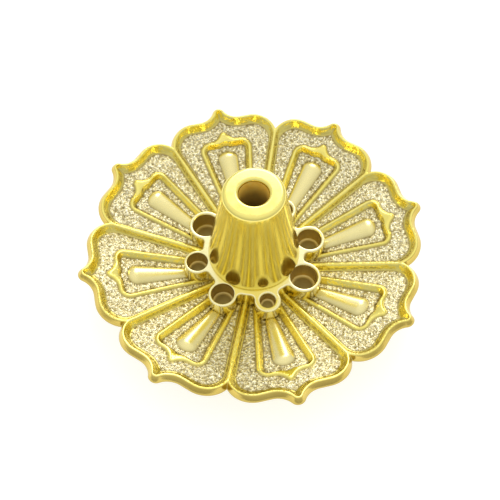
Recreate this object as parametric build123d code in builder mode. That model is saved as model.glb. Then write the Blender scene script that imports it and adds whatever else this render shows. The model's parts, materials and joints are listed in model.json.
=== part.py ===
"""Incense stick holder: a cast lotus saucer with a ring of stick sockets round a lift-out tower.

The foot plane is z = 0 and the axis of the saucer is z. Every petal is the same shape, drawn
flat on a plane that rises outwards from the axis, so its lengths are taken along that slope.
"""

import os
from math import asin, atan2, cos, hypot, pi, radians, sin, sqrt, tan

from build123d import *

# Stick sockets, anticlockwise from the petal on +x: their bores, and the walls of their bosses
socket_bores = (4.1, 3.4, 3.0, 4.5, 3.6, 3.9, 2.6, 4.6)
boss_walls = (0.7, 0.7, 0.7, 0.7, 0.5, 0.5, 0.95, 0.65)
socket_depth_share = 0.78
socket_gap = 0.07

# Petal outline at the crest of its rim
petal_count = len(socket_bores)
petal_tilt = 18.26
petal_root = 6.5
petal_reach = 28.4
notch_drop = 4.08
shoulder_radius = 4.0
tip_height = 2.15
tip_radius = 0.65
ogee_radius = 3.8

# Rim, the floor inside it, and the ridges between petals
rim_crest = 0.3
rim_wall_run = 0.8
rim_depth = 1.1
rim_height = 1.3
floor_root = 9.0
ridge_foot_half = 0.94
ridge_crest_half = 0.25
floor_wall = 0.65

# Inner petal: a raised bead round a deeper floor
bead_root = 10.6
bead_root_half = 2.15
bead_margin = 3.55
bead_half = 4.45
bead_shoulder_radius = 1.4
bead_tip_height = 1.58
bead_tip_radius = 0.35
bead_ogee_radius = 2.7
bead_height = 0.22
bead_wall_run = 0.5
inner_depth = 0.65

# Tapered round bar along the middle of each inner petal
bar_root = 11.5
bar_gap = 2.25
bar_root_half = 0.8
bar_end_half = 1.65
bar_root_height = 0.4
bar_end_height = 0.55

# Tower, and the spigot by which it sits in the hub
tower_height = 17.4
tower_foot_radius = 8.02
tower_foot_edge = 0.35
tower_top_radius = 5.0
tower_top_edge = 0.6
tower_bore = 4.8
tower_bore_depth = 12.0
tower_lip = 0.5
spigot_radius = 4.0
spigot_length = 3.0
spigot_chamfer = 0.3
seat_clearance = 0.05
seat_relief = 0.3

# Hub and foot
hub_height = 5.23
hub_land = 1.23
notch_fillet_share = 0.378
foot_radius = 14.0
foot_width = 2.6
foot_recess = 0.6

# A cutter passes this far beyond what it cuts
overrun = 2.0

petal_step = 360 / petal_count
tilt = radians(petal_tilt)
tower_seat_radius = tower_foot_radius - tower_foot_edge
socket_circle = tower_seat_radius + socket_gap + max(socket_bores) / 2
socket_pitch = 2 * socket_circle * sin(radians(petal_step / 2))
boss_radii = [bore / 2 + wall for bore, wall in zip(socket_bores, boss_walls)]
boss_gap = socket_pitch - max(a + b for a, b in zip(boss_radii, boss_radii[1:] + boss_radii[:1]))
hub_radius = tower_seat_radius + hub_land
crest_plane = Plane.XY.rotated((0, -petal_tilt, 0))
floor_plane = crest_plane.offset(-rim_depth)
bead_plane = floor_plane.offset(bead_height)
inner_plane = floor_plane.offset(-inner_depth)


def border(reach):
    """Half the width of a petal's share of the saucer at a reach along its slope."""
    return reach * cos(tilt) * tan(radians(petal_step / 2))


def ogee_face(root, root_half, reach, shoulder, shoulder_r, ogee, ogee_r, tip):
    """A lotus petal: straight sides, round shoulders, and a tip between two hollow curves.

    The shoulders and hollows touch the line across the petal at its reach; shoulder and ogee
    are how far the centres of these curves lie from the middle, and tip is the radius at the point.
    """
    bend_x = reach - shoulder_r
    hollow_x = reach + ogee_r
    away = hypot(bend_x - root, shoulder - root_half)
    side = atan2(shoulder - root_half, bend_x - root) + asin(shoulder_r / away)
    run = sqrt(away**2 - shoulder_r**2)
    side_end = (root + run * cos(side), root_half + run * sin(side))
    bend = (side + pi / 2) / 2
    bend_mid = (bend_x + shoulder_r * cos(bend), shoulder + shoulder_r * sin(bend))
    tip_x = hollow_x - sqrt((ogee_r + tip) ** 2 - ogee**2)
    meet = atan2(-ogee, tip_x - hollow_x) % (2 * pi)
    hollow = (pi + meet) / 2
    hollow_mid = (hollow_x + ogee_r * cos(hollow), ogee + ogee_r * sin(hollow))
    hollow_end = (hollow_x + ogee_r * cos(meet), ogee + ogee_r * sin(meet))
    with BuildSketch() as face:
        with BuildLine():
            Polyline((root, 0), (root, root_half), side_end)
            ThreePointArc(side_end, bend_mid, (reach, shoulder))
            Line((reach, shoulder), (reach, ogee))
            ThreePointArc((reach, ogee), hollow_mid, hollow_end)
            if tip > 0:
                turn = (meet - pi) / 2
                tip_mid = (tip_x + tip * cos(turn), tip * sin(turn))
                ThreePointArc(hollow_end, tip_mid, (tip_x + tip, 0))
            mirror(about=Plane.XZ)
        make_face()
    return face.sketch


notch_x = petal_reach - notch_drop
shoulder_offset = border(notch_x) - sqrt(shoulder_radius**2 - (shoulder_radius - notch_drop) ** 2)
ogee_offset = sqrt((ogee_radius + tip_radius) ** 2 - (tip_height - tip_radius - ogee_radius) ** 2)
bead_reach = petal_reach - bead_margin
bead_ogee_offset = sqrt(
    (bead_ogee_radius + bead_tip_radius) ** 2 - (bead_tip_height - bead_tip_radius - bead_ogee_radius) ** 2
)


def petal_face(inset, root, root_half):
    """The crest outline of the rim, moved inwards by the inset."""
    return ogee_face(
        root,
        root_half,
        petal_reach - inset,
        shoulder_offset,
        shoulder_radius - inset,
        ogee_offset,
        ogee_radius + inset,
        max(tip_radius - inset, 0),
    )


def bead_face(inset):
    """The crest outline of the bead round the inner petal, moved inwards by the inset."""
    return ogee_face(
        bead_root,
        bead_root_half - inset,
        bead_reach - inset,
        bead_half - bead_shoulder_radius,
        bead_shoulder_radius - inset,
        bead_ogee_offset,
        bead_ogee_radius + inset,
        max(bead_tip_radius - inset, 0),
    )


# The bar is the top of a cone with a round end; half chords and heights give the radii
bar_root_radius = (bar_root_half**2 + bar_root_height**2) / (2 * bar_root_height)
bar_end_radius = (bar_end_half**2 + bar_end_height**2) / (2 * bar_end_height)
bar_end = bead_reach - bar_gap
bar_run = bar_end - bar_end_half - bar_root
bar_fall = bar_end_height - bar_end_radius - bar_root_height + bar_root_radius
bar_length = hypot(bar_run, bar_fall)
bar_slope = atan2(bar_fall, bar_run)
bar_flank = asin((bar_end_radius - bar_root_radius) / bar_length)

with BuildPart() as bar:
    centre = (bar_root, 0, bar_root_height - bar_root_radius)
    along = Plane(centre, (cos(bar_slope), 0, sin(bar_slope)), (0, -1, 0))
    bar_plane = Plane(inner_plane.location * along.location)
    with BuildSketch(bar_plane):
        with BuildLine():
            touch = (bar_length - bar_end_radius * sin(bar_flank), bar_end_radius * cos(bar_flank))
            cap = (pi / 2 + bar_flank) / 2
            cap_mid = (bar_length + bar_end_radius * cos(cap), bar_end_radius * sin(cap))
            cap_end = (bar_length + bar_end_radius, 0)
            Polyline(cap_end, (0, 0), (0, bar_root_radius / cos(bar_flank)), touch)
            ThreePointArc(touch, cap_mid, cap_end)
        make_face()
    revolve(axis=Axis(bar_plane.origin, bar_plane.x_dir))
    with BuildSketch(inner_plane.offset(-inner_depth / 2)):
        Rectangle(bar_end + overrun, 2 * bead_half, align=(Align.MIN, Align.CENTER))
    extrude(amount=inner_depth + rim_depth, mode=Mode.INTERSECT)

# The underside is a cone from the foot to below the notches, and a steeper one out to the tips
notch_radius = notch_x * cos(tilt) / cos(radians(petal_step / 2))
notch_under = notch_x * sin(tilt) - (rim_depth + floor_wall) / cos(tilt)
tip_x = petal_reach + tip_height
tip_out = tip_x * cos(tilt) + rim_height * sin(tilt)
tip_under = tip_x * sin(tilt) - rim_height * cos(tilt)

with BuildPart() as petal:
    # The outside of the rim stands square to the slope
    with BuildSketch(crest_plane):
        add(petal_face(0, petal_root, border(petal_root) + overrun))
    extrude(amount=-tip_out)
    # Floor
    with BuildSketch(floor_plane):
        add(petal_face(rim_crest + rim_wall_run, floor_root, border(floor_root) - ridge_foot_half))
    with BuildSketch(crest_plane):
        top_root = floor_root - rim_wall_run
        add(petal_face(rim_crest, top_root, border(floor_root) - ridge_crest_half))
    loft(ruled=True, mode=Mode.SUBTRACT)
    # Bead and the deeper floor inside it
    with BuildSketch(floor_plane):
        add(bead_face(0))
    extrude(amount=bead_height)
    with BuildSketch(inner_plane):
        add(bead_face(bead_wall_run))
    with BuildSketch(bead_plane):
        add(bead_face(0))
    loft(ruled=True, mode=Mode.SUBTRACT)
    add(bar.part)
    # It ends half way to its neighbours
    with BuildSketch():
        with BuildLine():
            far = tip_out + overrun
            half_step = tan(radians(petal_step / 2))
            Polyline((petal_root, 0), (petal_root, petal_root * half_step), (far, far * half_step), (far, 0))
            mirror(about=Plane.XZ)
        make_face()
    extrude(amount=tip_out, both=True, mode=Mode.INTERSECT)

with BuildPart() as lotus_plate:
    with PolarLocations(0, petal_count):
        add(petal.part)
    # Hub, with a boss for each socket
    with BuildSketch() as hub:
        Circle(hub_radius)
        for place, boss_radius in zip(PolarLocations(socket_circle, petal_count), boss_radii):
            with Locations(place):
                Circle(boss_radius)
        fillet(hub.vertices(), notch_fillet_share * boss_gap)
    extrude(amount=hub_height)
    # Underside
    with BuildSketch(Plane.XZ):
        with BuildLine():
            ceiling = tip_under + hub_height
            Polyline(
                (0, 0),
                (foot_radius, 0),
                (notch_radius, notch_under),
                (tip_out, tip_under),
                (tip_out, ceiling),
                (0, ceiling),
                close=True,
            )
        make_face()
    revolve(mode=Mode.INTERSECT)
    with BuildSketch():
        Circle(foot_radius - foot_width)
    extrude(amount=foot_recess, mode=Mode.SUBTRACT)
    # Sockets, and the seat of the tower
    for place, bore in zip(PolarLocations(socket_circle, petal_count), socket_bores):
        with Locations(Pos(0, 0, hub_height) * place):
            Hole(bore / 2, socket_depth_share * bore)
    with Locations((0, 0, hub_height)):
        Hole(spigot_radius + seat_clearance, spigot_length + seat_relief)

with BuildPart() as incense_tower:
    with BuildSketch(Plane.XZ):
        with BuildLine():
            Polyline(
                (0, hub_height - spigot_length),
                (spigot_radius, hub_height - spigot_length),
                (spigot_radius, hub_height),
                (tower_seat_radius, hub_height),
                (tower_foot_radius, hub_height + tower_foot_edge),
                (tower_top_radius, hub_height + tower_height),
                (0, hub_height + tower_height),
                close=True,
            )
        make_face()
    revolve()
    rings = incense_tower.edges().filter_by(GeomType.CIRCLE).sort_by(Axis.Z)
    chamfer(rings[-1], tower_top_edge)
    chamfer(rings[0], spigot_chamfer)
    with Locations(Plane.XY.offset(hub_height + tower_height)):
        Hole(tower_bore / 2, tower_bore_depth)
    tower_top = incense_tower.faces().filter_by(Plane.XY).sort_by(Axis.Z)[-1]
    chamfer(tower_top.inner_wires()[0].edges(), tower_lip)

lotus_plate.part.label = "lotus_plate"
incense_tower.part.label = "incense_tower"
os.makedirs("parts", exist_ok=True)
export_step(lotus_plate.part, "parts/lotus_plate.step")
export_step(incense_tower.part, "parts/incense_tower.step")
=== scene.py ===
"""Looks of the incense stick holder: a gold lotus saucer with stick sockets round a lift-out tower.

Lengths are in millimetres here, and become metres where they go into Blender. A petal is drawn on its
own slope: s runs outwards along the slope from the axis, w across it, and n square to it, from the
crest of the rim.
"""

import json
from collections import namedtuple
from math import acos, asin, atan2, cos, hypot, pi, radians, sin, sqrt, tan

import bmesh
import bpy
import numpy as np
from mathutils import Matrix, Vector, geometry


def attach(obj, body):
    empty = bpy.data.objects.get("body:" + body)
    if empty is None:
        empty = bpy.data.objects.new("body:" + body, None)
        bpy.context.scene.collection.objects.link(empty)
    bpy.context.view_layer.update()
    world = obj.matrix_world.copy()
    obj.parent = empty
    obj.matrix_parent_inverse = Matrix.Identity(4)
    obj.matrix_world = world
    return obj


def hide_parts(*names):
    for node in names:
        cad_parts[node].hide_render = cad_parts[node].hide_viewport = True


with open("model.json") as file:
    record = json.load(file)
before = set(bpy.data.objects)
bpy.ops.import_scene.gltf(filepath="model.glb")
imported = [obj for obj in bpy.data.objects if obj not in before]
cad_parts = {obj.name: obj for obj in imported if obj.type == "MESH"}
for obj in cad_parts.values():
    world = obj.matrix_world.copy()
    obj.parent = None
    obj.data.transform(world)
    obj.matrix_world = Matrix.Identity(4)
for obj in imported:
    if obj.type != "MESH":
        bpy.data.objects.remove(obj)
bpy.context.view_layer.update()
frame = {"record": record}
MM = 0.001

# Finishes: of crests and ridges, floors, bars, hub (paler gold as a painted highlight), sockets (darker as
# painted shade), tower, its bore, and the rim's side (darker as painted shade)
POLISHED, GRAINED, SATIN, PALE_HIGHLIT, WELL, MIRROR, DUSTY, RIM_SHADED = range(8)

# Petals, and where their relief ends under the hub
PETALS = 8
HALF_STEP = pi / PETALS
TILT = radians(18.26)
REACH = 28.4
NOTCH_DROP = 4.08
SHOULDER_R = 4.0
TIP_HEIGHT = 2.15
TIP_R = 0.65
OGEE_R = 3.8
RELIEF_ROOT = 7.9

# Length of a step along an outline, and the steps round half a tip
SPACING = 0.26
TIP_STEPS = 6

# Bank inside the rim and beside the ridges
BANK_RUN = 1.35
BANK_DEPTH = 1.1
BANK_SHOULDER_W = 5.478
BANK_SHOULDER_R = 2.9
RIDGE_HALF_ROOT = 0.82

# Sections of the bank from crest to foot, as shares of its run and depth
RIM_SECTION = (
    (0, 0), (0.07, 0.012), (0.13, 0.045), (0.19, 0.105), (0.26, 0.21), (0.35, 0.35), (0.45, 0.50),
    (0.56, 0.65), (0.67, 0.80), (0.76, 0.905), (0.86, 0.97), (1, 1),
)
RIDGE_SECTION = (
    (0, 0), (0.10, 0.015), (0.20, 0.055), (0.30, 0.125), (0.40, 0.235), (0.48, 0.37), (0.56, 0.54),
    (0.63, 0.70), (0.70, 0.835), (0.78, 0.93), (0.88, 0.985), (1, 1),
)

# Where along the slope the ridge's section becomes the rim's, and the angle its bank keeps from the notch
RIDGE_TO_RIM = (20.0, 25.5)
NOTCH_MARGIN = 0.02

# Power by which the bank gets shallower where the tip leaves it less run
CHANNEL_POWER = 0.6

# Outside of the rim, as steps out and heights, and how many rows from the crest on share its finish before
# the darker gold of painted shade
RIM_OUTSIDE = (
    (0.08, -0.010), (0.15, -0.04), (0.21, -0.10), (0.26, -0.20), (0.32, -0.33), (0.38, -0.47),
    (0.44, -0.61), (0.50, -0.75), (0.55, -0.89), (0.60, -1.04), (0.62, -1.15), (0.60, -1.26),
    (0.52, -1.40), (0.36, -1.53), (0.20, -1.61), (0.05, -1.66),
)
CREST_ROWS = 4

# Bead round the inner petal
BEAD_ROOT = 8.4
BEAD_ROOT_HALF = 1.76
BEAD_REACH = 24.4
BEAD_HALF = 4.45
BEAD_SHOULDER_R = 1.5
BEAD_TIP_HEIGHT = 1.55
BEAD_TIP_R = 0.35
BEAD_OGEE_R = 2.7
BEAD_WIDTH = 0.84

# Outer half of the bead, as insets from its lotus outline and heights
BEAD_OUTER = (
    (-0.42, -1.10), (-0.33, -1.08), (-0.24, -1.02), (-0.16, -0.94), (-0.07, -0.88), (0.02, -0.85),
    (0.10, -0.85),
)

# Inner wall of the bead, as steps out from an outline with hardly any tip and heights
INNER_DEPTH = 1.75
INNER_TIP_HEIGHT = 0.3
INNER_TIP_R = 1.2
INNER_OGEE_R = 3.0
BEAD_INNER = (
    (0.67, -0.87), (0.61, -0.92), (0.53, -1.02), (0.44, -1.15), (0.35, -1.28), (0.26, -1.41),
    (0.18, -1.53), (0.10, -1.63), (0.04, -1.70), (0.0, -1.75),
)

# Bar on the inner floor
BAR_ROOT = 11.2
BAR_CAP = 21.2
BAR_CAP_LENGTH = 1.5
BAR_ROOT_HALF = 0.85
BAR_END_HALF = 1.86
BAR_ROOT_HEIGHT = 0.45
BAR_END_HEIGHT = 0.8
BAR_ROWS = 9
BAR_FULLNESS = 2.1

# Grain of the petal floors, with its unevenness and its gap from the edges as shares of the pitch
GRAIN_PITCH = 0.25
GRAIN_JITTER = 0.3
GRAIN_EDGE_GAP = 0.6
GRAIN_HEIGHT = 0.12
GRAIN_SEED = 7

# Underside and foot, with steps as shares of the way from the rim to the foot
FOOT_R = 14.0
FOOT_WIDTH = 2.6
FOOT_RECESS = 0.6
FOOT_EDGE = 0.15
UNDER_BEND_R = 25.0
UNDER_BEND_Z = 5.78
UNDER_TIP_R = 29.5
UNDER_TIP_Z = 8.37
UNDER_STEPS = (0.04, 0.1, 0.2, 0.32, 0.45, 0.6, 0.75, 0.88, 1.0)

# Hub, with its rounded edge and the fillets between its bosses
HUB_TOP = 5.23
HUB_R = 8.9
HUB_EDGE = 0.28
HUB_EDGE_LEAD = 0.05
HUB_BOTTOM = 0.9
HUB_MARGIN = 0.02
NOTCH_FILLET = 0.75
BOSS_WALLS = (0.7, 0.7, 0.7, 0.7, 0.5, 0.5, 0.95, 0.65)
HUB_ARC_STEP = 0.14
HUB_ARC_LEAST = 3
HUB_SHARP = radians(50)

# How far inside the hub's outline petal points start to be sunk, and the height they are sunk to
HUB_COVER = 0.12
HUB_SUNK = 1.0

# Sockets and the tower's seat
SOCKET_LIP_MOST = 0.34
LIP_CLEARANCE = 4 * HUB_MARGIN
SOCKET_FILLET = 0.3
SOCKET_STEPS = 72
SEAT_R = 4.05
SEAT_DEPTH = 3.3
SEAT_LIP = 0.2
EDGE_ROWS = 6
WALL_ROWS = 8
FILLET_ROWS = 5
WELL_FLOOR_SHARES = (0.8, 0.5, 0.2)

# Tower and its spigot
TOWER_FOOT_R = 8.0
TOWER_TOP_R = 5.0
TOWER_HEIGHT = 17.4
TOWER_TOP = HUB_TOP + TOWER_HEIGHT
TOWER_FOOT_EDGE = 0.4
TOWER_FOOT_LEAD = 0.05
TOWER_TOP_EDGE = 0.8
TOWER_TOP_LEAD = 0.03
TOWER_STEPS = 192
TOWER_SHARP = radians(40)
FLANK_ROWS = 25
ROUND_ROWS = 8
SPIGOT_R = 4.0
SPIGOT_LENGTH = 3.0
SPIGOT_CHAMFER = 0.3

# Stick hole in the tower
TOWER_BORE_R = 2.4
TOWER_BORE_DEPTH = 12.0
TOWER_LIP = 0.55
BORE_ROWS = 24
BORE_CENTRE_R = 0.3

# Where the painted shade of the creases starts: as shares of the bank and bar, and as heights above the
# floors
CREASE_SHARE = 0.62
BAR_CREASE = 0.86
BEAD_CREASE = 0.16
INNER_CREASE = 0.3

# Painted shade at the foot of the hub: how far out and from how far below its top it darkens, and by how
# much
HUB_SHADE_REACH = 1.3
HUB_SHADE_TOP = 1.6
HUB_SHADE = 0.15

# Outside of the rim: heights, and the painted shade there, which stands in for the shaded floor it reflects
RIM_SHADE_HEIGHTS = (-1.4, -0.4, -0.1)
RIM_SHADE_LEVELS = (-0.7, -0.2, 0)

# Painted shade on the sockets' floors, and the depths between which painted shade darkens the tower's bore
WELL_FLOOR_SHADE = 1.0
BORE_SHADE_DEPTHS = (1.3, 4.2)

# Tolerances of the meshes
TINY = 1e-9
FILL_TOLERANCE = 1e-7
JOIN_WITHIN = 0.002
SLIVER = 0.001

# Brown of the painted shade in creases, pits and hollows, and how much of it shows in their depths
CREASE_SHADE_COLOUR = (0.30, 0.225, 0.07)
MOST_CREASE_SHADE = 0.75
WELL_SHADE = 0.95
GRAIN_SHADE = 1.0
DUSTY_SHADE = 0.8

# Noise in the materials, and the span that most of its values keep to
NOISE_DETAIL = 2.0
NOISE_ROUGHNESS = 0.5
SANDY_ROUGHNESS = 0.6
NOISE_SPAN = (0.3, 0.7)

# Uneven tone and polish of the gold
TONE_SIZE = 6.0
TONE_DETAIL = 3.0
POLISH_SIZE = 1.5
POLISH_DETAIL = 4.0

# Gold of the grained floors, its pale end partly a painted sparkle, and the grain height above which the
# painted shade leaves its grains
GRAIN_DEEP = (0.89, 0.76, 0.37)
GRAIN_LIGHT = (1.0, 0.96, 0.72)
GRAIN_SPAN = (0.35, 0.65)
GRAIN_ROUGHNESS = (0.26, 0.16)
GRAIN_SIZE = 0.33
GRAIN_BUMP = 0.26
GRAIN_UNSHADED = 0.6

# Dusty inside of the tower's bore
DUST_DEEP = (1.0, 0.67, 0.10)
DUST_LIGHT = (1.0, 0.76, 0.18)
DUST_ROUGHNESS = (0.5, 0.7)
DUST_SIZE = 0.7
DUST_DETAIL = 3.0
DUST_BUMP = 0.04
DUST_METALLIC = 0.15

# Sockets of a Mix node that blends colours
MIX_FACTOR = 0
MIX_FIRST = 6
MIX_SECOND = 7
MIX_RESULT = 2

# Surroundings, which get lighter the nearer a direction comes to their brightest place
LIGHT_AZIMUTH = 68
SKY_ELEVATION = 75
SKY_FACING = (-0.2, 0.97)
SKY_LEVEL = (0.50, 1.0)
SKY_COLOUR = (0.98, 0.99, 1.0)

# Lamp
LAMP_ELEVATION = 30
LAMP_DISTANCE = 500
LAMP_WIDTH = 260
LAMP_HEIGHT = 440
LAMP_RADIANCE = 2.7
LAMP_AIM_Z = 10

# Floor of the studio, just clear of the foot, and its glow for the camera and in reflections
FLOOR_GAP = 0.02
FLOOR_HALF = 800
FLOOR_GREY = 0.5
FLOOR_GLOW = 0.67

# Camera, with its angles in degrees and its shifts as shares of the frame
CAMERA_AZIMUTH = -103.44
CAMERA_ELEVATION = 58.04
CAMERA_DISTANCE = 130.1
CAMERA_AIM_Z = 9.5
CAMERA_LENS = 55.28
CAMERA_SENSOR = 36
CAMERA_SHIFT_X = -0.0077
CAMERA_SHIFT_Y = -0.026
CAMERA_CLIP = 5

Bank = namedtuple("Bank", "rows ridge bends full foot rim_points rim_normals")
Boss = namedtuple("Boss", "x y radius bore depth")
Arc = namedtuple("Arc", "x y radius hollow start end")


class Skin:
    """Points and faces of a mesh, with a relief for each point and a finish for each face.

    The relief is -1 deep in a crease, 0 on a plain surface and 1 on the top of a grain, and
    the materials brown by it as painted shade. grains holds the numbers of the points that the grain moves.
    """

    def __init__(self):
        self.points = []
        self.relief = []
        self.faces = []
        self.kinds = []
        self.grains = []

    def add(self, points, relief=0.0):
        """Adds points that share a relief, and returns their numbers."""
        first = len(self.points)
        self.points.extend(tuple(p) for p in points)
        self.relief.extend([relief] * len(points))
        return list(range(first, len(self.points)))

    def level(self, line, z, relief=0.0):
        """Adds the points of a flat line at a height, and returns their numbers."""
        return self.add(at_height(line, z), relief)

    def face(self, corners, kind=POLISHED):
        """Adds one face."""
        self.faces.append(tuple(corners))
        self.kinds.append(kind)

    def strips(self, rows, closed=False, kind=POLISHED):
        """Adds quads between rows of points."""
        for lower, upper in zip(rows, rows[1:]):
            count = len(lower)
            for i in range(count if closed else count - 1):
                j = (i + 1) % count
                self.face((lower[i], lower[j], upper[j], upper[i]), kind)

    def fill(self, loops, flat, kind):
        """Adds triangles between an outer loop and its holes; flat holds the plane places of all points."""
        keys = list(flat)
        order = {key: i for i, key in enumerate(keys)}
        edges = [(order[a], order[b]) for loop in loops for a, b in zip(loop, loop[1:] + loop[:1])]
        coords = [Vector(flat[key]) for key in keys]
        points, _, faces, origins, _, _ = geometry.delaunay_2d_cdt(coords, edges, [], 0, FILL_TOLERANCE)
        middle = np.array([np.mean([points[v] for v in face], axis=0) for face in faces])
        keep = within(middle, [flat[key] for key in loops[0]])
        for hole in loops[1:]:
            keep &= ~within(middle, [flat[key] for key in hole])
        for face, kept in zip(faces, keep):
            if kept:
                self.face([keys[origins[v][0]] for v in face], kind)


def at_height(line, height):
    """Points of a flat line, with a height."""
    return np.column_stack([line, np.full(len(line), height)])


def within(points, ring):
    """Which points lie inside a closed ring."""
    ring = np.asarray(ring)
    x, y = points[:, 0], points[:, 1]
    result = np.zeros(len(points), bool)
    for (x0, y0), (x1, y1) in zip(ring, np.roll(ring, -1, axis=0)):
        if y0 != y1:
            result ^= ((y0 > y) != (y1 > y)) & (x < (x1 - x0) * (y - y0) / (y1 - y0) + x0)
    return result


def clear_of(points, ring, gap):
    """Which points keep a gap from every point of a ring."""
    near = np.full(len(points), np.inf)
    for q in ring:
        near = np.minimum(near, (points[:, 0] - q[0]) ** 2 + (points[:, 1] - q[1]) ** 2)
    return near > gap**2


def scatter(ring, holes, random):
    """Points spread evenly, but not in rows, over a ring less its holes."""
    low, high = ring.min(0), ring.max(0)
    row_step = GRAIN_PITCH * sqrt(3) / 2
    rows = []
    for i, y in enumerate(np.arange(low[1], high[1], row_step)):
        x = np.arange(low[0], high[0], GRAIN_PITCH) + GRAIN_PITCH / 2 * (i % 2)
        rows.append(at_height(x, y))
    points = np.vstack(rows)
    points += random.uniform(-GRAIN_JITTER, GRAIN_JITTER, points.shape) * GRAIN_PITCH
    points = points[within(points, ring)]
    for hole in holes:
        points = points[~within(points, hole)]
    for loop in [ring] + holes:
        points = points[clear_of(points, loop, GRAIN_EDGE_GAP * GRAIN_PITCH)]
    return points


def steps(length):
    """How many steps a stretch of outline gets."""
    return max(2, round(length / SPACING))


def turn(start, end, count):
    """Unit vectors from one angle to another, in a number of steps."""
    angles = np.linspace(start, end, count + 1)
    return np.column_stack([np.cos(angles), np.sin(angles)])


def ring(x, y, radius, count):
    """Points round a circle."""
    angles = np.linspace(0, 2 * pi, count, endpoint=False)
    return np.column_stack([x + radius * np.cos(angles), y + radius * np.sin(angles)])


def room_inside(points, normals):
    """How far points can go against their normals before they cross the middle line."""
    room = np.full(len(points), np.inf)
    slanted = normals[:, 1] > TINY
    room[slanted] = points[slanted, 1] / normals[slanted, 1]
    return room


def ogee(root, root_half, reach, shoulder, shoulder_r, tip_height, hollow_r, tip_r, like=None):
    """Half a lotus outline from root to tip: points, outward normals, room to the middle line, counts.

    It starts at root, root_half off the middle line. Its front lies at reach, and its tip stands
    tip_height past that. shoulder is how far the middle of the shoulder's curve is off the middle line.
    Counts are the steps of its five stretches: side, shoulder, front, hollow and tip. With another
    outline's counts as like, its points pair up with those of that outline.
    """
    hollow = sqrt((hollow_r + tip_r) ** 2 - (tip_height - tip_r - hollow_r) ** 2)
    bend = np.array((reach - shoulder_r, shoulder))
    dip = np.array((reach + hollow_r, hollow))
    away = hypot(bend[0] - root, shoulder - root_half)
    side = atan2(shoulder - root_half, bend[0] - root) + asin(shoulder_r / away)
    run = sqrt(away**2 - shoulder_r**2)
    tip_s = dip[0] - sqrt((hollow_r + tip_r) ** 2 - hollow**2)
    meet = atan2(hollow, dip[0] - tip_s)
    counts = like or [
        steps(run),
        steps(shoulder_r * (side + pi / 2)),
        steps(shoulder - hollow),
        steps(2 * hollow_r * meet),
        TIP_STEPS,
    ]
    share = np.linspace(0, 1, counts[0] + 1)[:, None]
    straight = np.array((root, root_half)) + share * run * np.array((cos(side), sin(side)))
    bend_turn = turn(side + pi / 2, 0, counts[1])[1:]
    across = np.linspace(shoulder, hollow, counts[2] + 1)[1:]
    dip_turn = turn(0, meet, counts[3])[1:]
    tip_turn = turn(meet, 0, counts[4])[1:]
    points = np.vstack([
        straight,
        bend + shoulder_r * bend_turn,
        np.column_stack([np.full(len(across), reach), across]),
        dip - hollow_r * dip_turn,
        (tip_s, 0) + tip_r * tip_turn,
    ])
    normals = np.vstack([
        np.tile((-sin(side), cos(side)), (len(straight), 1)),
        bend_turn,
        np.tile((1.0, 0.0), (len(across), 1)),
        dip_turn,
        tip_turn,
    ])
    room = room_inside(points, normals)
    room[-counts[4]:] = tip_r
    return points, normals, room, counts


def mirrored(half):
    """A half outline and its mirror image, from one root round the tip to the other root."""
    flip = np.ones(half.shape[1])
    flip[1] = -1
    return np.vstack([half, half[-2::-1] * flip])


def border(s, n=0.0):
    """Half the width of a petal's share of the saucer."""
    return (s * cos(TILT) - n * sin(TILT)) * tan(HALF_STEP)


def on_slope(points):
    """Points of the frame from points s, w, n of a petal."""
    s, w, n = np.asarray(points).T
    return np.column_stack([s * cos(TILT) - n * sin(TILT), w, s * sin(TILT) + n * cos(TILT)])


def under_height(r):
    """Height of the underside at a radius."""
    return np.interp(r, (FOOT_R, UNDER_BEND_R, UNDER_TIP_R), (0.0, UNDER_BEND_Z, UNDER_TIP_Z))


# Middle of the rim's shoulder curve, and the slope of the border between petals
notch_s = REACH - NOTCH_DROP
shoulder_w = border(notch_s) - sqrt(SHOULDER_R**2 - (SHOULDER_R - NOTCH_DROP) ** 2)
shoulder_s = REACH - SHOULDER_R
border_slope = cos(TILT) * tan(HALF_STEP)


def border_angle(radius, n):
    """Where a shoulder curve of that radius, at height n, crosses the border of its petal."""
    lift = (border(shoulder_s, n) - shoulder_w) / (radius * hypot(1, border_slope))
    return asin(lift) + atan2(border_slope, 1)


def ridge_bank(notch):
    """Crest and foot of the bank beside a ridge, from its root to the notch."""
    points, normals, _, _ = ogee(
        RELIEF_ROOT, border(RELIEF_ROOT) - RIDGE_HALF_ROOT, REACH - BANK_RUN, BANK_SHOULDER_W,
        BANK_SHOULDER_R, TIP_HEIGHT, OGEE_R + BANK_RUN, TIP_R,
    )
    on_ridge = np.arctan2(normals[:, 1], normals[:, 0]) > notch + NOTCH_MARGIN
    foot, normals = points[on_ridge], normals[on_ridge]
    gap = (border_slope * foot[:, 0] - foot[:, 1]) / (normals[:, 1] - border_slope * normals[:, 0])
    return foot + gap[:, None] * normals, foot


def rim_front():
    """Crest of the rim past its shoulder: points, outward normals and room to the middle line."""
    points, normals, room, _ = ogee(
        RELIEF_ROOT, border(RELIEF_ROOT), REACH, shoulder_w, SHOULDER_R, TIP_HEIGHT, OGEE_R, TIP_R,
    )
    past = (points[:, 0] > REACH - TINY) & (points[:, 1] < shoulder_w - TINY)
    return points[past], normals[past], room[past]


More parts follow.
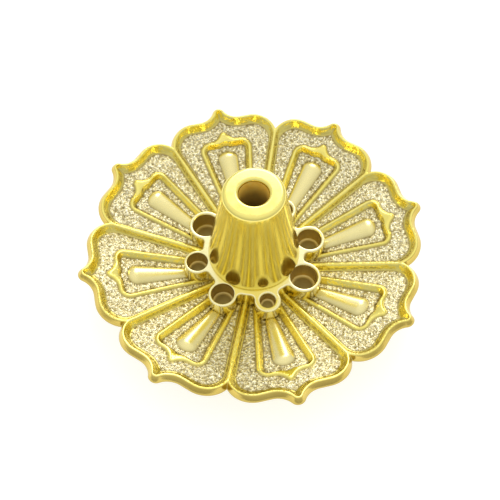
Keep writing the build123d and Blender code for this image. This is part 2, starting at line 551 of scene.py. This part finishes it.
def add_bank(skin):
    """Adds the inner bank of the rim and ridges.

    The Bank holds its rows from crest to foot, how many columns lie on the ridge and round the
    shoulder, the first column that the tip leaves less run, its foot, and the rim past the shoulder.
    """
    notch = border_angle(SHOULDER_R, 0)
    ridge_crest, ridge_foot = ridge_bank(notch)
    bend_turn = turn(notch, 0, steps(SHOULDER_R * notch))
    bend_crest = (shoulder_s, shoulder_w) + SHOULDER_R * bend_turn
    bend_foot = (REACH - BANK_RUN - BANK_SHOULDER_R, BANK_SHOULDER_W) + BANK_SHOULDER_R * bend_turn
    rim_points, rim_normals, rim_room = rim_front()
    run = np.minimum(rim_room, BANK_RUN)
    crest = np.vstack([ridge_crest, bend_crest, rim_points])
    foot = np.vstack([ridge_foot, bend_foot, rim_points - run[:, None] * rim_normals])
    before = len(ridge_foot) + len(bend_foot)
    depth = BANK_DEPTH * np.append(np.ones(before), (run / BANK_RUN) ** CHANNEL_POWER)
    on_rim = np.interp(foot[:, 0], RIDGE_TO_RIM, (0, 1))[:, None]
    rows = []
    for ridge_step, rim_step in zip(RIDGE_SECTION, RIM_SECTION):
        share, drop = ((1 - on_rim) * ridge_step + on_rim * rim_step).T
        line = np.column_stack([crest + share[:, None] * (foot - crest), -depth * drop])
        # painted shade: the lower part of the bank browns towards its foot
        crease = np.interp(ridge_step[0], (CREASE_SHARE, 1), (0, -1))
        rows.append(skin.add(on_slope(mirrored(line)), crease))
    skin.strips(rows)
    full = int(np.argmax(run < BANK_RUN)) + before
    return Bank(rows, len(ridge_foot), len(bend_turn), full, foot, rim_points, rim_normals)


def rim_rows(skin, bank):
    """Adds the points of the rim's outside from border to border, and returns its rows from the crest."""
    crest = bank.rows[0]
    rows = [crest[bank.ridge: len(crest) - bank.ridge]]
    for out, n in RIM_OUTSIDE:
        radius = SHOULDER_R + out
        angles = np.linspace(border_angle(radius, n), 0, bank.bends)
        bent = np.column_stack([shoulder_s + radius * np.cos(angles), shoulder_w + radius * np.sin(angles)])
        line = at_height(np.vstack([bent, bank.rim_points + out * bank.rim_normals]), n)
        # painted shade, darker down the outside of the rim
        rows.append(skin.add(on_slope(mirrored(line)), np.interp(n, RIM_SHADE_HEIGHTS, RIM_SHADE_LEVELS)))
    return rows


def under_rows(skin, edge):
    """Adds the points from the rim's lower edge to the foot ring and the recess inside it, as rows."""
    last = np.array([skin.points[i] for i in edge])
    radius = np.hypot(last[:, 0], last[:, 1])
    ray = last[:, :2] / radius[:, None]
    step_off = last[:, 2] - under_height(radius)
    rows = []
    for t in UNDER_STEPS:
        r = radius + (FOOT_R - radius) * t
        z = under_height(r) + step_off * (1 - t) ** 2
        rows.append(skin.add(np.column_stack([ray * r[:, None], z])))
    foot_in = FOOT_R - FOOT_WIDTH
    for r, z in (
        (FOOT_R - FOOT_EDGE, 0),
        (foot_in + FOOT_EDGE, 0),
        (foot_in, FOOT_EDGE),
        (foot_in, FOOT_RECESS - FOOT_EDGE),
        (foot_in - FOOT_EDGE, FOOT_RECESS),
    ):
        rows.append(skin.level(ray * r, z))
    return rows


def add_outside(skin, bank):
    """Adds the outside of the rim, with its side in a darker gold as painted shade, and the underside."""
    rows = rim_rows(skin, bank)
    rim_end = len(rows)
    rows += under_rows(skin, rows[-1])
    rows = [row[::-1] for row in rows]
    skin.strips(rows[:CREST_ROWS])
    # darker gold as painted shade on the rim's side
    skin.strips(rows[CREST_ROWS - 1: rim_end], kind=RIM_SHADED)
    skin.strips(rows[rim_end - 1:])


def add_bead(skin):
    """Adds the bead. Returns the points of its outer and inner foot, by number, with their plane places."""
    bend = BEAD_HALF - BEAD_SHOULDER_R
    points, normals, room, counts = ogee(
        BEAD_ROOT, BEAD_ROOT_HALF, BEAD_REACH, bend, BEAD_SHOULDER_R, BEAD_TIP_HEIGHT, BEAD_OGEE_R,
        BEAD_TIP_R,
    )
    inner_points, inner_normals, _, _ = ogee(
        BEAD_ROOT, BEAD_ROOT_HALF - BEAD_WIDTH, BEAD_REACH - BEAD_WIDTH, bend,
        BEAD_SHOULDER_R - BEAD_WIDTH, INNER_TIP_HEIGHT, INNER_OGEE_R, INNER_TIP_R, counts,
    )
    rows = []
    lines = []
    for inset, n in BEAD_OUTER:
        reach = np.minimum(inset, room)
        lines.append(mirrored(at_height(points - reach[:, None] * normals, n)))
        # painted shade browning the outer foot of the bead
        crease = np.interp(n, (-BANK_DEPTH, BEAD_CREASE - BANK_DEPTH), (-1, 0))
        rows.append(skin.add(on_slope(lines[-1]), crease))
    for out, n in BEAD_INNER:
        lines.append(mirrored(at_height(inner_points + out * inner_normals, n)))
        # painted shade browning the inner foot of the bead
        crease = np.interp(n, (-INNER_DEPTH, INNER_CREASE - INNER_DEPTH), (-1, 0))
        rows.append(skin.add(on_slope(lines[-1]), crease))
    skin.strips(rows)
    return dict(zip(rows[0], lines[0][:, :2])), dict(zip(rows[-1], lines[-1][:, :2]))


def add_bar(skin):
    """Adds the round bar. Returns the points of its foot, by number, with their plane places."""
    s = np.linspace(BAR_ROOT, BAR_CAP, steps(BAR_CAP - BAR_ROOT) + 1)
    grow = (s - BAR_ROOT) / (BAR_CAP - BAR_ROOT)
    half_width = BAR_ROOT_HALF + (BAR_END_HALF - BAR_ROOT_HALF) * grow
    cap = turn(pi / 2, 0, steps(BAR_END_HALF * pi / 2))[1:] * (BAR_CAP_LENGTH, BAR_END_HALF)
    foot = np.vstack([np.column_stack([s, half_width]), (BAR_CAP, 0) + cap])
    spine = np.vstack([at_height(s, 0), np.tile((BAR_CAP, 0), (len(cap), 1))])
    height = BAR_ROOT_HEIGHT + (BAR_END_HEIGHT - BAR_ROOT_HEIGHT) * np.append(grow, np.ones(len(cap)))
    rows = []
    for share in np.linspace(1, 0, BAR_ROWS + 1):
        crown = -INNER_DEPTH + height * (1 - share**BAR_FULLNESS)
        line = np.column_stack([spine + share * (foot - spine), crown])
        # painted shade browning the foot of the bar
        rows.append(skin.add(on_slope(mirrored(line)), np.interp(share, (BAR_CREASE, 1), (0, -1))))
    skin.strips(rows, kind=SATIN)
    skin.face([row[0] for row in rows] + [row[-1] for row in rows[::-1]], SATIN)
    return dict(zip(rows[0], mirrored(foot)))


def floor_edge(bank):
    """Points of the bank's foot, by number, with their plane places, as far as the floor reaches."""
    foot = bank.rows[-1]
    places = mirrored(bank.foot)
    kept = [*range(bank.full + 1), *range(len(foot) - bank.full, len(foot))]
    return {foot[i]: places[i] for i in kept}


def grain_floor(skin, loops, flat, height, random):
    """Adds a petal floor inside its first loop and outside the others, with points for its grain."""
    rings = [np.array([flat[key] for key in loop]) for loop in loops]
    spots = scatter(rings[0], rings[1:], random)
    added = skin.add(on_slope(at_height(spots, height)))
    skin.grains.extend(added)
    flat.update(zip(added, spots))
    skin.fill(loops, flat, GRAINED)


def petal_skin(random):
    """One petal from border to border: its raised and sunk forms, its rim and its share of the underside
    and foot.
    """
    skin = Skin()
    bank = add_bank(skin)
    add_outside(skin, bank)
    bead_out, bead_in = add_bead(skin)
    bar_foot = add_bar(skin)
    bank_foot = floor_edge(bank)
    outer_loop = list(bank_foot) + list(bead_out)[::-1]
    grain_floor(skin, [outer_loop], bank_foot | bead_out, -BANK_DEPTH, random)
    grain_floor(skin, [list(bead_in), list(bar_foot)], bead_in | bar_foot, -INNER_DEPTH, random)
    return skin


def read_bosses():
    """The bosses round the hub, anticlockwise from +x, with their sockets' radius and depth."""
    sockets = [m for m in frame["record"]["mounts"] if m["name"].startswith("stick_socket")]
    found = []
    for socket, wall in zip(sockets, BOSS_WALLS):
        x, y, _ = (c / MM for c in socket["pos_m"])
        bore = socket["dims"]["r_mm"]
        found.append(Boss(x, y, bore + wall, bore, socket["dims"]["length_mm"]))
    return found


bosses = read_bosses()


def off_hub(points):
    """How far points stand off the outline of the hub and its bosses; negative inside it."""
    off = np.hypot(points[:, 0], points[:, 1]) - HUB_R
    for boss in bosses:
        off = np.minimum(off, np.hypot(points[:, 0] - boss.x, points[:, 1] - boss.y) - boss.radius)
    return off


def to_object(name, skin, materials, sharp=None):
    """A smooth-shaded mesh object with coincident points joined and its openings filled."""
    mesh = bpy.data.meshes.new(name)
    mesh.from_pydata((np.asarray(skin.points) * MM).tolist(), [], skin.faces)
    relief = mesh.attributes.new("relief", "FLOAT", "POINT")
    relief.data.foreach_set("value", np.asarray(skin.relief, np.float32))
    used = sorted(set(skin.kinds))
    mesh.polygons.foreach_set("material_index", np.searchsorted(used, skin.kinds).astype(np.int32))
    bm = bmesh.new()
    bm.from_mesh(mesh)
    bmesh.ops.remove_doubles(bm, verts=bm.verts, dist=JOIN_WITHIN * MM)
    bmesh.ops.dissolve_degenerate(bm, edges=bm.edges, dist=SLIVER * MM)
    open_edges = [e for e in bm.edges if len(e.link_faces) == 1]
    bmesh.ops.holes_fill(bm, edges=open_edges, sides=0)
    bmesh.ops.recalc_face_normals(bm, faces=bm.faces)
    bm.to_mesh(mesh)
    bm.free()
    mesh.polygons.foreach_set("use_smooth", np.ones(len(mesh.polygons), bool))
    if sharp is not None:
        mesh.set_sharp_from_angle(angle=sharp)
    for kind in used:
        mesh.materials.append(materials[kind])
    piece = bpy.data.objects.new(name, mesh)
    bpy.context.scene.collection.objects.link(piece)
    return piece


def saucer_piece(materials):
    """The lotus saucer: petals with rims, ridges, beads, bars and grained floors."""
    random = np.random.default_rng(GRAIN_SEED)
    petal = petal_skin(random)
    base = np.array(petal.points)
    up = np.array((-sin(TILT), 0, cos(TILT)))
    whole = Skin()
    for k in range(PETALS):
        points = base.copy()
        relief = np.array(petal.relief)
        bumps = random.uniform(-1, 1, len(petal.grains))
        # grain heights, which also set the painted shade in the pits
        relief[petal.grains] = bumps
        points[petal.grains] += GRAIN_HEIGHT * bumps[:, None] * up
        a = 2 * k * HALF_STEP
        spin = np.array(((cos(a), -sin(a), 0), (sin(a), cos(a), 0), (0, 0, 1)))
        points = points @ spin.T
        off = off_hub(points)
        points[(off < -HUB_COVER) & (points[:, 2] > HUB_SUNK), 2] = HUB_SUNK
        first = len(whole.points)
        whole.points.extend(points)
        # painted shade on the floor round the foot of the hub and its bosses
        whole.relief.extend(np.maximum(relief - np.interp(off, (0, HUB_SHADE_REACH), (HUB_SHADE, 0)), -1))
        whole.faces.extend(tuple(first + v for v in face) for face in petal.faces)
        whole.kinds.extend(petal.kinds)
    return to_object("lotus_saucer", whole, materials)


def notch_angles(boss):
    """Angle between a boss and the fillet beside it seen from the axis, and the same seen from the boss."""
    circle = hypot(bosses[0].x, bosses[0].y)
    fillet_circle = HUB_R + NOTCH_FILLET
    reach = boss.radius + NOTCH_FILLET
    lean = acos((fillet_circle**2 + circle**2 - reach**2) / (2 * fillet_circle * circle))
    turn_in = acos((reach**2 + circle**2 - fillet_circle**2) / (2 * reach * circle))
    return lean, turn_in


def notch_arc(at, start, end):
    """The fillet at an angle round the hub."""
    fillet_circle = HUB_R + NOTCH_FILLET
    return Arc(fillet_circle * cos(at), fillet_circle * sin(at), NOTCH_FILLET, True, start, end)


def hub_arcs():
    """The hub's outline as arcs with their first and last angles; the hollow ones run clockwise."""
    arcs = []
    for k, boss in enumerate(bosses):
        at = atan2(boss.y, boss.x)
        lean, turn_in = notch_angles(boss)
        arcs.append(Arc(boss.x, boss.y, boss.radius, False, at - pi + turn_in, at + pi - turn_in))
        arcs.append(notch_arc(at + lean, at - turn_in, at + lean - pi))
        next_at = at + 2 * HALF_STEP
        next_lean, next_turn = notch_angles(bosses[(k + 1) % PETALS])
        arcs.append(Arc(0, 0, HUB_R, False, at + lean, next_at - next_lean))
        arcs.append(notch_arc(next_at - next_lean, next_at - next_lean + pi, next_at + next_turn))
    return arcs


def hub_line(inset):
    """Points of the hub's outline, moved inwards."""
    points = []
    for x, y, radius, hollow, start, end in hub_arcs():
        size = radius + inset if hollow else radius - inset
        count = max(HUB_ARC_LEAST, round(radius * abs(end - start) / HUB_ARC_STEP))
        angles = np.linspace(start, end, count + 1)[:-1]
        points.append(np.column_stack([x + size * np.cos(angles), y + size * np.sin(angles)]))
    return np.vstack(points)


def hub_side(skin):
    """Adds the side of the hub and its rounded edge. Returns its rows from the bottom to the top."""
    side = hub_line(0)
    rows = [
        # painted shade on the lower side of the hub
        skin.level(side, HUB_BOTTOM, -HUB_SHADE),
        skin.level(side, HUB_TOP - HUB_SHADE_TOP, -HUB_SHADE),
        skin.level(side, HUB_TOP - HUB_EDGE - HUB_EDGE_LEAD),
    ]
    for a in np.linspace(0, pi / 2, EDGE_ROWS):
        rows.append(skin.level(hub_line(HUB_EDGE * (1 - cos(a))), HUB_TOP - HUB_EDGE * (1 - sin(a))))
    rows.append(skin.level(hub_line(HUB_EDGE + HUB_MARGIN), HUB_TOP))
    # paler gold on the hub as a painted highlight
    skin.strips(rows, closed=True, kind=PALE_HIGHLIT)
    return rows


def hub_well(skin, x, y, bore, depth, lip):
    """Adds a socket or the seat: its rounded lip, wall and floor. Returns the points round the lip."""

    def circle(radius, z, relief=0.0):
        return skin.level(ring(x, y, radius, SOCKET_STEPS), z, relief)

    floor = HUB_TOP - depth
    rows = [circle(bore + lip + HUB_MARGIN, HUB_TOP)]
    for a in np.linspace(0, pi / 2, EDGE_ROWS):
        rows.append(circle(bore + lip * (1 - sin(a)), HUB_TOP - lip * (1 - cos(a))))
    lip_end = len(rows)
    for z in np.linspace(HUB_TOP - lip, floor + SOCKET_FILLET, WALL_ROWS)[1:]:
        rows.append(circle(bore, z))
    for a in np.linspace(0, pi / 2, FILLET_ROWS)[1:]:
        rows.append(circle(bore - SOCKET_FILLET * (1 - cos(a)), floor + SOCKET_FILLET * (1 - sin(a))))
    for share in WELL_FLOOR_SHARES:
        # painted shade on the socket's floor
        rows.append(circle((bore - SOCKET_FILLET) * share, floor, -WELL_FLOOR_SHADE))
    skin.strips(rows[:lip_end], closed=True, kind=PALE_HIGHLIT)
    # darker gold inside the socket as painted shade
    skin.strips(rows[lip_end - 1:], closed=True, kind=WELL)
    skin.face(rows[-1], WELL)
    return rows[0]


def hub_piece(materials):
    """The hub with its bosses, stick sockets and the seat of the tower."""
    skin = Skin()
    side = hub_side(skin)
    loops = [side[-1]]
    for boss in bosses:
        lip = min(boss.radius - boss.bore - HUB_EDGE - LIP_CLEARANCE, SOCKET_LIP_MOST)
        loops.append(hub_well(skin, boss.x, boss.y, boss.bore, boss.depth, lip))
    loops.append(hub_well(skin, 0, 0, SEAT_R, SEAT_DEPTH, SEAT_LIP))
    flat = {i: skin.points[i][:2] for loop in loops for i in loop}
    skin.fill(loops, flat, PALE_HIGHLIT)
    skin.face(side[0], PALE_HIGHLIT)
    return to_object("hub", skin, materials, HUB_SHARP)


def round_over(r, z, radius, start, end):
    """Points r, z of an arc of a turned profile."""
    return [(r + radius * cos(a), z + radius * sin(a)) for a in np.linspace(start, end, ROUND_ROWS)]


def tower_outside():
    """Profile of the tower from its spigot over the flank to the rounded edge of its top."""
    lean = atan2(TOWER_FOOT_R - TOWER_TOP_R, TOWER_HEIGHT)
    foot_r = TOWER_FOOT_R - TOWER_FOOT_EDGE * (1 + sin(lean)) / cos(lean)
    edge_r = TOWER_TOP_R - TOWER_TOP_EDGE * (1 - sin(lean)) / cos(lean)
    low = np.array((foot_r + TOWER_FOOT_EDGE * cos(lean), HUB_TOP + TOWER_FOOT_EDGE * (1 + sin(lean))))
    high = np.array((edge_r + TOWER_TOP_EDGE * cos(lean), TOWER_TOP - TOWER_TOP_EDGE * (1 - sin(lean))))
    profile = [
        (SPIGOT_R - SPIGOT_CHAMFER, HUB_TOP - SPIGOT_LENGTH),
        (SPIGOT_R, HUB_TOP - SPIGOT_LENGTH + SPIGOT_CHAMFER),
        (SPIGOT_R, HUB_TOP),
        (foot_r - TOWER_FOOT_LEAD, HUB_TOP),
    ]
    profile += round_over(foot_r, HUB_TOP + TOWER_FOOT_EDGE, TOWER_FOOT_EDGE, -pi / 2, lean)[:-1]
    profile += [tuple(low + t * (high - low)) for t in np.linspace(0, 1, FLANK_ROWS)]
    profile += round_over(edge_r, TOWER_TOP - TOWER_TOP_EDGE, TOWER_TOP_EDGE, lean, pi / 2)[1:]
    profile.append((edge_r - TOWER_TOP_LEAD, TOWER_TOP))
    return profile


def tower_lip():
    """Profile of the rounded lip of the stick hole, from the tower's top down to the bore."""
    lip_r = TOWER_BORE_R + TOWER_LIP
    lead = (lip_r + TOWER_TOP_LEAD, TOWER_TOP)
    return [lead] + round_over(lip_r, TOWER_TOP - TOWER_LIP, TOWER_LIP, pi / 2, pi)


def tower_bore():
    """Profile of the stick hole below its lip."""
    floor = TOWER_TOP - TOWER_BORE_DEPTH
    wall = np.linspace(TOWER_TOP - TOWER_LIP, floor + SOCKET_FILLET, BORE_ROWS)[1:]
    profile = [(TOWER_BORE_R, z) for z in wall]
    return profile + [(TOWER_BORE_R - SOCKET_FILLET, floor), (BORE_CENTRE_R, floor)]


def tower_piece(materials):
    """The turned tower with its spigot and stick hole."""
    skin = Skin()
    rows = [skin.level(ring(0, 0, r, TOWER_STEPS), z) for r, z in tower_outside() + tower_lip()]
    bore_start = len(rows)
    for r, z in tower_bore():
        # painted shade, darker deeper in the bore
        bore_shade = np.interp(TOWER_TOP - z, BORE_SHADE_DEPTHS, (0, -1))
        rows.append(skin.level(ring(0, 0, r, TOWER_STEPS), z, bore_shade))
    skin.strips(rows[:bore_start], closed=True, kind=MIRROR)
    skin.strips(rows[bore_start - 1:], closed=True, kind=DUSTY)
    skin.face(rows[0], MIRROR)
    skin.face(rows[-1], DUSTY)
    return to_object("tower", skin, materials, TOWER_SHARP)


class Nodes:
    """The nodes of a material or a world, with short ways to add the kinds used here."""

    def __init__(self, tree):
        self.new = tree.nodes.new
        self.link = tree.links.new

    def noise(self, size, detail=NOISE_DETAIL, roughness=NOISE_ROUGHNESS):
        """Noise on the object, with features of about a size in millimetres."""
        coords = self.new("ShaderNodeTexCoord")
        node = self.new("ShaderNodeTexNoise")
        node.inputs["Scale"].default_value = 1 / (size * MM)
        node.inputs["Detail"].default_value = detail
        node.inputs["Roughness"].default_value = roughness
        self.link(coords.outputs["Object"], node.inputs["Vector"])
        return node.outputs["Fac"]

    def spread(self, source, ends, span=NOISE_SPAN):
        """A value moved from its span to new ends, and held at these past the span."""
        node = self.new("ShaderNodeMapRange")
        node.inputs["From Min"].default_value = span[0]
        node.inputs["From Max"].default_value = span[1]
        node.inputs["To Min"].default_value = ends[0]
        node.inputs["To Max"].default_value = ends[1]
        self.link(source, node.inputs["Value"])
        return node.outputs["Result"]

    def blend(self, factor, first, second):
        """A blend of two colours; the first may come from another node."""
        node = self.new("ShaderNodeMix")
        node.data_type = "RGBA"
        self.link(factor, node.inputs[MIX_FACTOR])
        if isinstance(first, tuple):
            node.inputs[MIX_FIRST].default_value = (*first, 1)
        else:
            self.link(first, node.inputs[MIX_FIRST])
        node.inputs[MIX_SECOND].default_value = (*second, 1)
        return node.outputs[MIX_RESULT]

    def crease_shaded(self, colour, most, clean=0.0):
        """A colour that browns as painted shade where the relief goes down into a crease, from where it is
        unshaded.
        """
        relief = self.new("ShaderNodeAttribute")
        relief.attribute_name = "relief"
        share = self.spread(relief.outputs["Fac"], (most, 0), (-1, clean))
        return self.blend(share, colour, CREASE_SHADE_COLOUR)

    def bump(self, height, depth):
        """Normals of a surface with bumps of a depth in millimetres."""
        node = self.new("ShaderNodeBump")
        node.inputs["Strength"].default_value = 1
        node.inputs["Distance"].default_value = depth * MM
        self.link(height, node.inputs["Height"])
        return node.outputs["Normal"]

    def math(self, operation, first, second):
        """A calculation with two values; the second may be a number."""
        node = self.new("ShaderNodeMath")
        node.operation = operation
        self.link(first, node.inputs[0])
        if isinstance(second, float):
            node.inputs[1].default_value = second
        else:
            self.link(second, node.inputs[1])
        return node.outputs[0]


def node_material(name):
    """A new material, its nodes, and the sockets of its shader."""
    material = bpy.data.materials.new(name)
    material.use_nodes = True
    shader = material.node_tree.nodes["Principled BSDF"]
    return material, Nodes(material.node_tree), shader.inputs


def gold_material(name, light, deep, roughness, wave, wave_size, most_shade=MOST_CREASE_SHADE):
    """Gold plate: a little uneven in tone, polish and flatness, with painted shade browning its creases."""
    material, nodes, sockets = node_material(name)
    tone = nodes.spread(nodes.noise(TONE_SIZE, TONE_DETAIL), (0, 1))
    polish = nodes.noise(POLISH_SIZE, POLISH_DETAIL, SANDY_ROUGHNESS)
    nodes.link(nodes.crease_shaded(nodes.blend(tone, deep, light), most_shade), sockets["Base Color"])
    nodes.link(nodes.spread(polish, roughness), sockets["Roughness"])
    nodes.link(nodes.bump(nodes.noise(wave_size), wave), sockets["Normal"])
    sockets["Metallic"].default_value = 1
    return material


def grained_material(name):
    """Floors of the petals: sandy cast grain under the plating, paler than the polished parts partly as a
    painted sparkle, with painted shade in the pits.
    """
    material, nodes, sockets = node_material(name)
    grain = nodes.noise(GRAIN_SIZE, NOISE_DETAIL, SANDY_ROUGHNESS)
    plain = nodes.blend(nodes.spread(grain, (0, 1), GRAIN_SPAN), GRAIN_DEEP, GRAIN_LIGHT)
    nodes.link(nodes.crease_shaded(plain, GRAIN_SHADE, GRAIN_UNSHADED), sockets["Base Color"])
    nodes.link(nodes.spread(grain, GRAIN_ROUGHNESS), sockets["Roughness"])
    nodes.link(nodes.bump(grain, GRAIN_BUMP), sockets["Normal"])
    sockets["Metallic"].default_value = 1
    return material


def dusty_material(name):
    """Inside of the tower's bore: plating dulled by ash and resin, rough, and darker with depth by painted
    shade.
    """
    material, nodes, sockets = node_material(name)
    dust = nodes.noise(DUST_SIZE, DUST_DETAIL, SANDY_ROUGHNESS)
    plain = nodes.blend(nodes.spread(dust, (0, 1)), DUST_DEEP, DUST_LIGHT)
    nodes.link(nodes.crease_shaded(plain, DUSTY_SHADE), sockets["Base Color"])
    nodes.link(nodes.spread(dust, DUST_ROUGHNESS), sockets["Roughness"])
    nodes.link(nodes.bump(dust, DUST_BUMP), sockets["Normal"])
    sockets["Metallic"].default_value = DUST_METALLIC
    return material


def gold_materials():
    """The material of each finish."""
    return {
        POLISHED: gold_material(
            "polished_gold", light=(0.98, 0.85, 0.26), deep=(0.95, 0.80, 0.18), roughness=(0.10, 0.20),
            wave=0.11, wave_size=0.9,
        ),
        GRAINED: grained_material("grained_gold"),
        SATIN: gold_material(
            "satin_gold", light=(0.96, 0.85, 0.41), deep=(0.92, 0.79, 0.33), roughness=(0.22, 0.32),
            wave=0.006, wave_size=0.5,
        ),
        # paler gold of the hub and socket lips: a painted highlight
        PALE_HIGHLIT: gold_material(
            "faced_gold", light=(0.96, 0.88, 0.50), deep=(0.92, 0.82, 0.40), roughness=(0.13, 0.21),
            wave=0.008, wave_size=0.9,
        ),
        # darker gold of the sockets: painted shade in the recesses, on a rougher finish
        WELL: gold_material(
            "dull_gold", light=(0.78, 0.62, 0.24), deep=(0.58, 0.45, 0.16), roughness=(0.40, 0.55),
            wave=0.02, wave_size=0.6, most_shade=WELL_SHADE,
        ),
        DUSTY: dusty_material("dusty_gold"),
        # darker, deeper gold of the rim's side: painted shade of the shadowed floor it reflects
        RIM_SHADED: gold_material(
            "edge_gold", light=(0.88, 0.68, 0.17), deep=(0.78, 0.57, 0.12), roughness=(0.14, 0.24),
            wave=0.010, wave_size=0.9,
        ),
        MIRROR: gold_material(
            "mirror_gold", light=(0.97, 0.85, 0.26), deep=(0.94, 0.81, 0.21), roughness=(0.13, 0.21),
            wave=0.003, wave_size=1.2,
        ),
    }


def direction(azimuth, elevation):
    """Unit vector at an angle anticlockwise from +x, and an elevation."""
    a, e = radians(azimuth), radians(elevation)
    return Vector((cos(a) * cos(e), sin(a) * cos(e), sin(e)))


def surroundings():
    """A pale world, brightest high up behind the object."""
    world = bpy.data.worlds.new("surroundings")
    world.use_nodes = True
    nodes = Nodes(world.node_tree)
    coords = nodes.new("ShaderNodeTexCoord")
    facing = nodes.new("ShaderNodeVectorMath")
    facing.operation = "DOT_PRODUCT"
    facing.inputs[1].default_value = direction(LIGHT_AZIMUTH, SKY_ELEVATION)
    nodes.link(coords.outputs["Generated"], facing.inputs[0])
    background = world.node_tree.nodes["Background"]
    background.inputs["Color"].default_value = (*SKY_COLOUR, 1)
    nodes.link(nodes.spread(facing.outputs["Value"], SKY_LEVEL, SKY_FACING), background.inputs["Strength"])
    bpy.context.scene.world = world


def back_lamp():
    """A soft studio lamp behind the object, which it faces, with the brightness of its face."""
    width, height = LAMP_WIDTH * MM, LAMP_HEIGHT * MM
    data = bpy.data.lights.new("back_lamp", "AREA")
    data.shape = "RECTANGLE"
    data.size = width
    data.size_y = height
    data.energy = LAMP_RADIANCE * pi * width * height
    lamp = bpy.data.objects.new("back_lamp", data)
    away = direction(LIGHT_AZIMUTH, LAMP_ELEVATION)
    lamp.location = away * (LAMP_DISTANCE * MM) + Vector((0, 0, LAMP_AIM_Z * MM))
    lamp.rotation_euler = away.to_track_quat("Z", "Y").to_euler()
    bpy.context.scene.collection.objects.link(lamp)


def floor_material():
    """Pale floor that glows for the camera and in reflections, and keeps the object's shadow."""
    material, nodes, sockets = node_material("pale_floor")
    sockets["Base Color"].default_value = (FLOOR_GREY, FLOOR_GREY, FLOOR_GREY, 1)
    sockets["Roughness"].default_value = 1
    sockets["Specular IOR Level"].default_value = 0
    sockets["Emission Color"].default_value = (1, 1, 1, 1)
    path = nodes.new("ShaderNodeLightPath").outputs
    seen = nodes.math("MAXIMUM", path["Is Camera Ray"], path["Is Glossy Ray"])
    shown = nodes.math("MAXIMUM", seen, path["Is Transmission Ray"])
    nodes.link(nodes.math("MULTIPLY", shown, FLOOR_GLOW), sockets["Emission Strength"])
    return material


def studio_floor():
    """The plain floor under the object."""
    mesh = bpy.data.meshes.new("floor")
    size = FLOOR_HALF * MM
    corners = ((-size, -size), (size, -size), (size, size), (-size, size))
    mesh.from_pydata([(x, y, -FLOOR_GAP * MM) for x, y in corners], [], [(0, 1, 2, 3)])
    mesh.materials.append(floor_material())
    floor = bpy.data.objects.new("floor", mesh)
    bpy.context.scene.collection.objects.link(floor)


def camera():
    """The photograph's view: its aim on the axis, its distance and angles, and its framing."""
    aim = Vector((0, 0, CAMERA_AIM_Z * MM))
    back = direction(CAMERA_AZIMUTH, CAMERA_ELEVATION)
    data = bpy.data.cameras.new("camera")
    data.lens = CAMERA_LENS
    data.sensor_width = CAMERA_SENSOR
    data.shift_x = CAMERA_SHIFT_X
    data.shift_y = CAMERA_SHIFT_Y
    data.clip_start = CAMERA_CLIP * MM
    eye = bpy.data.objects.new("camera", data)
    eye.location = aim + back * CAMERA_DISTANCE * MM
    eye.rotation_euler = back.to_track_quat("Z", "Y").to_euler()
    bpy.context.scene.collection.objects.link(eye)
    bpy.context.scene.camera = eye


materials = gold_materials()
saucer = saucer_piece(materials)
hub = hub_piece(materials)
tower = tower_piece(materials)
for piece in (saucer, hub):
    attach(piece, "saucer")
    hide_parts("lotus_plate")
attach(tower, "tower")
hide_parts("incense_tower")
bpy.context.scene.view_settings.view_transform = "Standard"
surroundings()
back_lamp()
studio_floor()
camera()
